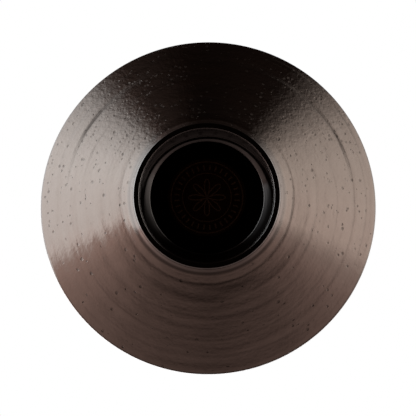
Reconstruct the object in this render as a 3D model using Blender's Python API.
"""Footed conical dish in glazed stoneware, in metres, standing on its foot ring with +Z up.

Every piece is turned about Z. One outline describes the finished dish: it is walked from the middle of
the recess under the foot, round the foot ring, up the flank, over the lip and down to the middle of the
well, with the clay always on its left. The glaze coats, and the clay under them, are offsets of it.
"""

import math

import bmesh
import bpy
from mathutils import Vector

# The whole dish, over its glaze
dish_radius = 0.0850
dish_height = 0.0450

# Foot ring: the flat crest that it stands on, and the wall outside it
crest_inner_radius = 0.0332
crest_width = 0.0024
crest_round = 0.0005
bare_height = 0.0008
foot_wall_rise = 0.0046
foot_wall_angle = math.radians(62)
foot_flank_fillet = 0.0100

# Recess inside the foot ring
recess_depth = 0.0082
recess_wall_angle = math.radians(57)
recess_fillet = 0.0010

# Floor between recess and well, and the flank's wall, which thickens from the lip to the well
floor_thickness = 0.0048
lip_round = 0.0021
wall_taper = math.radians(1.3)
well_fillet = 0.0300

# Layers fused to the clay. The gap stands for the bond between one layer and the next.
glaze_thickness = 0.0005
bond_gap = 0.0003
backstamp_radius = 0.0193
backstamp_thickness = 0.00015

turning_steps = 48
fillet_steps = 5
lip_steps = 8
vertex_merge = 1e-6

crest_outer_radius = crest_inner_radius + crest_width
clay_depth = glaze_thickness + bond_gap
well_height = recess_depth + floor_thickness


# The outline's stations are pairs: a point (radius, height), and the unit direction from it into the clay.


def heading(start, end):
    return math.atan2(end.y - start.y, end.x - start.x)


def left_of(angle):
    return Vector((-math.sin(angle), math.cos(angle)))


def arc(centre, radius, first, last, steps):
    """Stations on a circle, from one heading to another. Headings that grow turn left, round the clay."""
    headings = [first + (last - first) * step / steps for step in range(steps + 1)]
    outwards = math.copysign(radius, first - last)
    return [(centre + left_of(angle) * outwards, left_of(angle)) for angle in headings]


def fillet(before, corner, after, radius):
    """Stations round a corner, on the circle that touches the stretches before and after it."""
    first = heading(before, corner)
    turn = math.remainder(heading(corner, after) - first, 2 * math.pi)
    setback = radius * math.tan(abs(turn) / 2)
    touch = corner + (before - corner).normalized() * setback
    centre = touch + left_of(first) * math.copysign(radius, turn)
    return arc(centre, radius, first, first + turn, fillet_steps)


def station_at(height, start, end):
    """The station where the straight stretch from start to end passes a height."""
    share = (height - start.y) / (end.y - start.y)
    return start.lerp(end, share), left_of(heading(start, end))


# Corners of the finished outline
recess_centre = Vector((0, recess_depth))
recess_corner = Vector((crest_inner_radius - recess_depth / math.tan(recess_wall_angle), recess_depth))
crest_inner = Vector((crest_inner_radius, 0))
crest_outer = Vector((crest_outer_radius, 0))
foot_corner = Vector((crest_outer_radius + foot_wall_rise / math.tan(foot_wall_angle), foot_wall_rise))
lip_centre = Vector((dish_radius - lip_round, dish_height - lip_round))
well_centre = Vector((0, well_height))

# The flank leaves the foot's corner and touches the lip's round. The inside leaves the lip a little flatter.
reach = (lip_centre - foot_corner).length
flank_heading = heading(foot_corner, lip_centre) - math.asin(lip_round / reach)
inside_heading = flank_heading + math.pi - wall_taper
lip_start = lip_centre - left_of(flank_heading) * lip_round
lip_end = lip_centre - left_of(inside_heading) * lip_round
well_corner = lip_end + (well_height - lip_end.y) * Vector((1 / math.tan(inside_heading), 1))

in_recess = [
    (recess_centre, left_of(0)),
    *fillet(recess_centre, recess_corner, crest_inner, recess_fillet),
]
round_crest = [
    *fillet(recess_corner, crest_inner, crest_outer, crest_round),
    *fillet(crest_inner, crest_outer, foot_corner, crest_round),
]
round_dish = [
    *fillet(crest_outer, foot_corner, lip_start, foot_flank_fillet),
    *arc(lip_centre, lip_round, flank_heading, inside_heading, lip_steps),
    *fillet(lip_end, well_corner, well_centre, well_fillet),
    (well_centre, left_of(math.pi)),
]


def recess_side(lowest):
    """The outline from the recess's middle down to a height on the inner wall of the foot ring."""
    return [*in_recess, station_at(lowest, recess_corner, crest_inner)]


def dish_side(lowest):
    """The outline from a height on the outer wall of the foot ring, round to the well's middle."""
    return [station_at(lowest, crest_outer, foot_corner), *round_dish]


def at_depth(stations, depth):
    return [point + into_clay * depth for point, into_clay in stations]


def coat(stations):
    """Profile of a glaze coat, from the axis along its face to its edge, and back along its bond."""
    return [*at_depth(stations, 0), *at_depth(stations[::-1], glaze_thickness)]


def finish(name, colour, roughness, metallic=0.0):
    material = bpy.data.materials.new(name)
    material.use_nodes = True
    shader = material.node_tree.nodes["Principled BSDF"]
    shader.inputs["Base Color"].default_value = (*colour, 1)
    shader.inputs["Roughness"].default_value = roughness
    shader.inputs["Metallic"].default_value = metallic
    return material


def turned(name, profile, material):
    """One solid turned about Z, from a profile whose two ends are on the axis."""
    shape = bmesh.new()
    points = [shape.verts.new((point.x, 0, point.y)) for point in profile]
    edges = [shape.edges.new(ends) for ends in zip(points, points[1:])]
    bmesh.ops.spin(
        shape, geom=points + edges, cent=(0, 0, 0), axis=(0, 0, 1), angle=math.tau, steps=turning_steps
    )
    bmesh.ops.remove_doubles(shape, verts=shape.verts, dist=vertex_merge)
    bmesh.ops.recalc_face_normals(shape, faces=shape.faces)
    mesh = bpy.data.meshes.new(name)
    shape.to_mesh(mesh)
    shape.free()
    mesh.materials.append(material)
    mesh.shade_smooth()
    mesh.set_sharp_from_angle(angle=math.radians(35))
    piece = bpy.data.objects.new(name, mesh)
    bpy.context.scene.collection.objects.link(piece)
    return piece


def make_clay_body():
    """Bare round the crest up to bare_height, and stepped back under the two coats from there on."""
    bare_band = [recess_side(bare_height)[-1], *round_crest, dish_side(bare_height)[0]]
    profile = [
        *at_depth(recess_side(bare_height), clay_depth),
        *at_depth(bare_band, 0),
        *at_depth(dish_side(bare_height), clay_depth),
    ]
    return turned("clay_body", profile, finish("bare stoneware", (0.020, 0.013, 0.010), 0.45))


def make_main_glaze():
    """One coat over the foot's outer wall, the flank, the lip and the whole inside."""
    profile = coat(dish_side(bare_height + bond_gap)[::-1])
    return turned("main_glaze", profile, finish("bronze glaze", (0.050, 0.028, 0.020), 0.22, 0.4))


def make_recess_glaze():
    """A second coat inside the foot ring, cut off from the main one by the bare crest."""
    profile = coat(recess_side(bare_height + bond_gap))
    return turned("recess_glaze", profile, finish("black glaze", (0.012, 0.007, 0.006), 0.12))


def make_backstamp():
    """A thin round transfer on the face of the recess glaze."""
    top = recess_depth - bond_gap
    bottom = top - backstamp_thickness
    profile = [
        Vector((0, top)),
        Vector((backstamp_radius, top)),
        Vector((backstamp_radius, bottom)),
        Vector((0, bottom)),
    ]
    return turned("backstamp", profile, finish("brown transfer", (0.045, 0.020, 0.012), 0.35))


def clear_scene():
    for thing in list(bpy.data.objects):
        bpy.data.objects.remove(thing, do_unlink=True)


clear_scene()
make_clay_body()
make_main_glaze()
make_recess_glaze()
make_backstamp()
